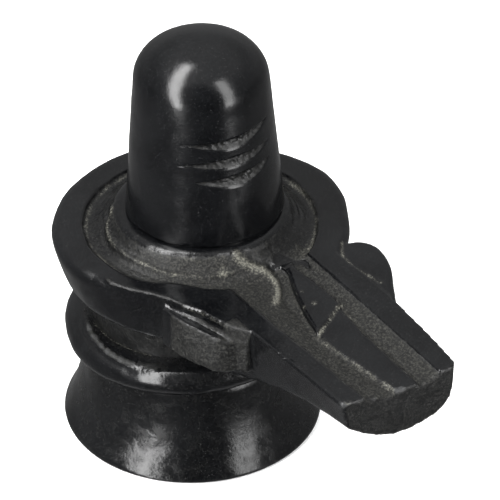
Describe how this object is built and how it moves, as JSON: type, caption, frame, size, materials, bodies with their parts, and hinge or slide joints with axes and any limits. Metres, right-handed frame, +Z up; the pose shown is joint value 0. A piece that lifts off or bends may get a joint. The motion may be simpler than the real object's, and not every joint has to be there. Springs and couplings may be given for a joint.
{
  "type": "shiva lingam",
  "caption": "Small carved black stone shiva lingam: a domed shaft in a round basin with a long grooved spout, on a ringed, flared foot, for a home shrine.",
  "frame": {"origin": "middle of the foot's flat underside, on the surface that the piece stands on", "axes": "+Z up the lingam; the spout points along -Y"},
  "size_m": [0.0852, 0.1376, 0.127],
  "materials": {
    "stone": "black stone, honed to a soft shine, with chisel-roughened channel and grooves"
  },
  "bodies": {
    "root": {"shiva_lingam": "stone"}
  },
  "joints": []
}
